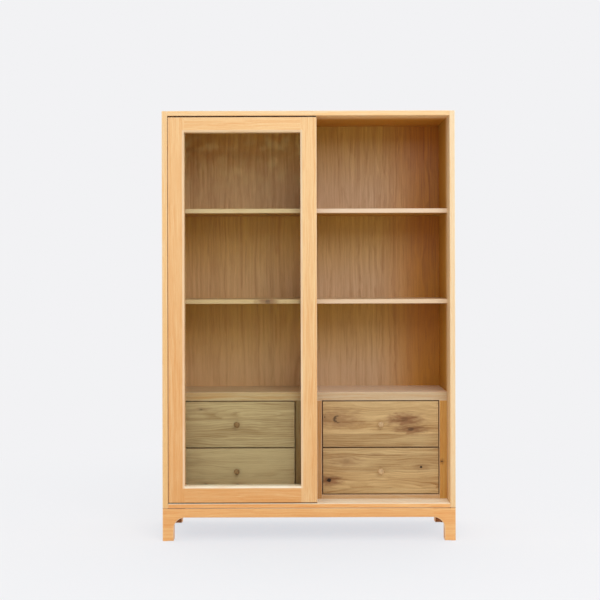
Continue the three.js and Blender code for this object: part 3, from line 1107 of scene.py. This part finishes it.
class BOOKCASE_OT_base(Operator):
    """Finish the four bracketed legs and the aprons between them"""

    bl_idname = "bookcase.base"
    bl_label = "Base"
    bl_options = {"REGISTER", "UNDO"}

    def execute(self, context):
        sizes = context.scene.bookcase_sizes
        oak = oak_material(context, "base_oak")
        # The legs' and aprons' top faces get painted shade where they meet the case
        for node in nodes_named("leg_"):
            place_wood(node, softened_copy(node, sizes.chamfer_softness), X, oak, stained=(UPWARD,))
        aprons = {"apron_front": X, "apron_back": X, "apron_left": Y, "apron_right": Y}
        for node, along in aprons.items():
            apron = eased_board(node, sizes.base_ease, sizes.round_steps, glued=along)
            place_wood(node, apron, along, oak, stained=(UPWARD,))
        return {"FINISHED"}


class BOOKCASE_OT_case(Operator):
    """Finish the side, top, bottom and back panels and the centre divider"""

    bl_idname = "bookcase.case"
    bl_label = "Case"
    bl_options = {"REGISTER", "UNDO"}

    def execute(self, context):
        sizes = context.scene.bookcase_sizes
        oak = oak_material(context, "case_oak")
        softness = sizes.chamfer_softness
        # The side panels' and top's inner faces get painted shade
        for node, inward in (
            ("side_panel_left", RIGHTWARD),
            ("side_panel_right", LEFTWARD),
            ("top_panel", DOWNWARD),
        ):
            along = X if node == "top_panel" else Z
            place_wood(node, softened_copy(node, softness), along, oak, stained=(inward,))
        # The bottom panel's top face gets a painted highlight
        bottom = softened_copy("bottom_panel", softness)
        place_wood("bottom_panel", bottom, X, oak_material(context, "base_oak"), lipped=UPWARD)
        divider = softened_copy("centre_divider", softness)
        place_wood("centre_divider", divider, Z, oak_material(context, "unit_oak"))
        # The back's front gets painted shade under the boards and by the right side, and painted light
        # in the right bay
        back = eased_board("back_panel", sizes.panel_ease, sizes.round_steps)
        place_wood("back_panel", back, Z, oak_material(context, "back_veneer"), stained=(FRONTWARD,))
        return {"FINISHED"}


class BOOKCASE_OT_shelves(Operator):
    """Finish the four shelves, with a cream front edge, partly pale lipping and partly painted
    highlight, and painted shade underneath
    """

    bl_idname = "bookcase.shelves"
    bl_label = "Shelves"
    bl_options = {"REGISTER", "UNDO"}

    def execute(self, context):
        sizes = context.scene.bookcase_sizes
        oak = oak_material(context, "shelf_oak")
        knotty = oak_material(context, "shelf_knotty_oak")
        for node in nodes_named("shelf_"):
            shelf = eased_board(node, sizes.board_ease, sizes.round_steps)
            material = knotty if node == "shelf_left_lower" else oak
            place_wood(node, shelf, X, material, lipped=FRONTWARD, stained=(DOWNWARD,))
        return {"FINISHED"}


class BOOKCASE_OT_drawer_units(Operator):
    """Finish the boards and runners that hold the drawers"""

    bl_idname = "bookcase.drawer_units"
    bl_label = "Drawer Units"
    bl_options = {"REGISTER", "UNDO"}

    def execute(self, context):
        sizes = context.scene.bookcase_sizes
        oak = oak_material(context, "unit_oak")
        side_oak = oak_material(context, "unit_side_oak")
        recess_oak = oak_material(context, "unit_recess_oak")
        directions = {"_top": X, "_floor": X, "_side": Z, "_runner": Y}
        for part, along in directions.items():
            for node in nodes_named("drawer_unit_", part):
                board = eased_board(node, sizes.board_ease, sizes.round_steps)
                # The left inner side gets painted shade on its front, behind the door
                if node == "drawer_unit_left_inner_side":
                    place_wood(node, board, along, recess_oak, stained=(FRONTWARD,))
                else:
                    # The outer sides' tones hold painted shade and bounce light
                    finish = side_oak if "outer_side" in node else oak
                    # A unit's top face gets a painted highlight
                    place_wood(node, board, along, finish, lipped=UPWARD if part == "_top" else None)
        return {"FINISHED"}


class BOOKCASE_OT_drawers(Operator):
    """Finish the drawers: knotty fronts, boxes, bottoms and turned knobs"""

    bl_idname = "bookcase.drawers"
    bl_label = "Drawers"
    bl_options = {"REGISTER", "UNDO"}

    def execute(self, context):
        sizes = context.scene.bookcase_sizes
        lining = oak_material(context, "lining_wood")
        knob_oak = oak_material(context, "knob_oak")
        for side in ("left", "right"):
            for level in ("lower", "upper"):
                drawer = f"drawer_{side}_{level}"
                front = drawer + "_front"
                rustic = oak_material(context, f"drawer_oak_{side}_{level}")
                # The fronts' eased edges get painted shade in the gaps round them
                edges = (UPWARD, DOWNWARD, LEFTWARD, RIGHTWARD)
                panel = softened_copy(front, sizes.chamfer_softness)
                place_wood(front, panel, X, rustic, stained=edges, flats=False)
                box = drawer + "_box"
                place_wood(box, softened_copy(box, sizes.chamfer_softness), Y, lining)
                bottom = drawer + "_bottom"
                panel = eased_board(bottom, sizes.panel_ease, sizes.round_steps)
                place_wood(bottom, panel, X, lining)
                knob = drawer + "_knob"
                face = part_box(front)[0].y
                place_wood(knob, turned_knob(knob, face, sizes.knob_steps), Y, knob_oak, eased=0.0)
        return {"FINISHED"}


class BOOKCASE_OT_doors(Operator):
    """Finish both sliding doors: stiles, rails and clear panes"""

    bl_idname = "bookcase.doors"
    bl_label = "Doors"
    bl_options = {"REGISTER", "UNDO"}

    def execute(self, context):
        sizes = context.scene.bookcase_sizes
        oak = oak_material(context, "door_oak")
        glass = glass_material(context)
        for part, along in (("stile", Z), ("rail", X)):
            for node in nodes_named("_door_", part):
                frame_piece = softened_copy(node, sizes.chamfer_softness)
                # A bottom rail's upper faces get a painted highlight
                lipped = UPWARD if "bottom" in node else None
                # The stiles' and rails' ends get painted shade in the gaps above and below
                ends = (DOWNWARD,) if lipped else (UPWARD,)
                if part == "stile":
                    ends = (UPWARD, DOWNWARD)
                place_wood(node, frame_piece, along, oak, lipped=lipped, stained=ends)
        for node in nodes_named("_door_glass"):
            pane = eased_board(node, sizes.glass_ease, 1)
            place_piece(node, pane, glass)
        return {"FINISHED"}


class BOOKCASE_OT_studio(Operator):
    """Set up the pale floor, the backdrop, the soft lamp and the camera"""

    bl_idname = "bookcase.studio"
    bl_label = "Studio"
    bl_options = {"REGISTER", "UNDO"}

    def execute(self, context):
        scene = context.scene
        studio = scene.bookcase_studio
        add_camera(scene, studio)
        add_key_lamp(scene, studio)
        add_floor(scene, studio)
        light_world(scene, studio)
        scene.view_settings.view_transform = "Standard"
        return {"FINISHED"}


def add_camera(scene, studio):
    data = bpy.data.cameras.new("Camera")
    data.sensor_width = SENSOR_WIDTH
    data.lens = studio.camera_lens
    data.shift_y = (studio.horizon_pixel - PICTURE_SIZE / 2) / PICTURE_SIZE
    camera = bpy.data.objects.new("Camera", data)
    camera.location = studio.camera_place
    camera.rotation_euler = (math.radians(90), studio.camera_roll, 0.0)
    scene.collection.objects.link(camera)
    scene.camera = camera


def add_key_lamp(scene, studio):
    data = bpy.data.lights.new("Key Lamp", "AREA")
    data.shape = "SQUARE"
    data.size = studio.key_size
    data.energy = studio.key_power
    data.color = studio.key_colour
    lamp = bpy.data.objects.new("Key Lamp", data)
    lamp.location = studio.key_place
    aim = Vector(studio.key_aim) - Vector(studio.key_place)
    lamp.rotation_euler = aim.to_track_quat("-Z", "Y").to_euler()
    scene.collection.objects.link(lamp)


def seen_share(tree, path):
    """1 for rays that show the background: the camera's, and those in gloss and glass."""
    gloss = tree.math("MAXIMUM", path["Is Glossy Ray"], path["Is Transmission Ray"])
    return tree.math("MAXIMUM", path["Is Camera Ray"], gloss)


def add_floor(scene, studio):
    """A large round floor that keeps a faint real shadow and fades into the backdrop."""
    colours = scene.bookcase_colours
    bm = bmesh.new()
    bmesh.ops.create_circle(bm, cap_ends=True, segments=FLOOR_SEGMENTS, radius=studio.floor_radius)
    mesh = bpy.data.meshes.new("Floor")
    bm.to_mesh(mesh)
    bm.free()
    material, tree = new_material("floor")
    place = tree.node("TexCoord").outputs["Object"]
    path = tree.node("LightPath").outputs
    real = tree.node("BsdfDiffuse", {"Color": colours.floor})

    # The camera sees the backdrop's colour, less the light that a shadow takes from the floor
    backdrop = colours.background
    share = tree.span(tree.vector("LENGTH", place), *FADE, 1.0, 0.0)
    shown = studio.shadow_shares
    rest = tuple(part - lit * given for part, lit, given in zip(backdrop, studio.floor_light, shown))
    flat = tree.node("Emission", {"Color": tree.mix(share, backdrop, rest)})
    near = tree.node("BsdfDiffuse", {"Color": tree.mix(share, (0.0, 0.0, 0.0), shown)})
    seen = tree.node("AddShader", {0: flat.outputs[0], 1: near.outputs[0]})
    mixed = tree.mix_shaders(seen_share(tree, path), real, seen)

    # Gloss mirrors the dim room's floor, in front of the bookcase
    ahead = tree.span(tree.separate(place)["Y"], *DIM_FLOOR_END, 1.0, 0.0)
    room = tree.node("Emission", {"Color": colours.room})
    mirrored = tree.times(path["Is Glossy Ray"], ahead)
    tree.show(tree.mix_shaders(mirrored, mixed, room))
    mesh.materials.append(material)
    floor = bpy.data.objects.new("Floor", mesh)
    scene.collection.objects.link(floor)


def light_world(scene, studio):
    """An even fill. Gloss sees the backdrop behind the bookcase and a dim room before it."""
    colours = scene.bookcase_colours
    world = bpy.data.worlds.new("Studio")
    world.use_nodes = True
    world.node_tree.nodes.clear()
    tree = Tree(world.node_tree)
    direction = tree.node("TexCoord").outputs["Generated"]
    toward = tree.separate(direction)
    path = tree.node("LightPath").outputs
    leaves = tree.span(tree.noise(direction, LEAF_LUMPS, 3.0)[0], *LEAF_EDGE)
    leaves = tree.times(leaves, tree.span(toward["Z"], *LEAF_RISE))
    room = tree.mix(leaves, colours.room, colours.leaves)
    room = tree.mix(tree.span(toward["Y"], *DIM_ROOM_END), room, colours.background)
    shown = tree.mix(path["Is Glossy Ray"], colours.background, room)
    around = [studio.fill * part for part in studio.fill_colour]
    before = [studio.front_fill * part for part in studio.fill_colour]
    lit = tree.mix(tree.span(toward["Y"], *FRONT_FILL_END), before, around)
    colour = tree.mix(seen_share(tree, path), lit, shown)
    background = tree.node("Background", {"Color": colour, "Strength": 1.0})
    tree.node("OutputWorld", {"Surface": background.outputs[0]})
    scene.world = world


class BOOKCASE_PT_panel(Panel):
    """Lists the bookcase's pieces and their settings"""

    bl_idname = "BOOKCASE_PT_panel"
    bl_label = "Bookcase"
    bl_space_type = "VIEW_3D"
    bl_region_type = "UI"
    bl_category = "Bookcase"

    def draw(self, context):
        layout = self.layout
        for operator in OPERATORS:
            layout.operator(operator.bl_idname)
        scene = context.scene
        for group in (scene.bookcase_sizes, scene.bookcase_colours, scene.bookcase_studio):
            box = layout.box()
            for name in group.bl_rna.properties.keys():
                if name not in ("rna_type", "name"):
                    box.prop(group, name)


OPERATORS = (
    BOOKCASE_OT_studio,
    BOOKCASE_OT_base,
    BOOKCASE_OT_case,
    BOOKCASE_OT_shelves,
    BOOKCASE_OT_drawer_units,
    BOOKCASE_OT_drawers,
    BOOKCASE_OT_doors,
)
CLASSES = (BookcaseColours, BookcaseSizes, BookcaseStudio, *OPERATORS, BOOKCASE_PT_panel)


def register():
    for cls in CLASSES:
        bpy.utils.register_class(cls)
    bpy.types.Scene.bookcase_colours = PointerProperty(type=BookcaseColours)
    bpy.types.Scene.bookcase_sizes = PointerProperty(type=BookcaseSizes)
    bpy.types.Scene.bookcase_studio = PointerProperty(type=BookcaseStudio)


def unregister():
    del bpy.types.Scene.bookcase_studio
    del bpy.types.Scene.bookcase_sizes
    del bpy.types.Scene.bookcase_colours
    for cls in reversed(CLASSES):
        bpy.utils.unregister_class(cls)


def main():
    register()
    bpy.ops.bookcase.studio()
    bpy.ops.bookcase.base()
    bpy.ops.bookcase.case()
    bpy.ops.bookcase.shelves()
    bpy.ops.bookcase.drawer_units()
    bpy.ops.bookcase.drawers()
    bpy.ops.bookcase.doors()


if __name__ == "__main__":
    main()
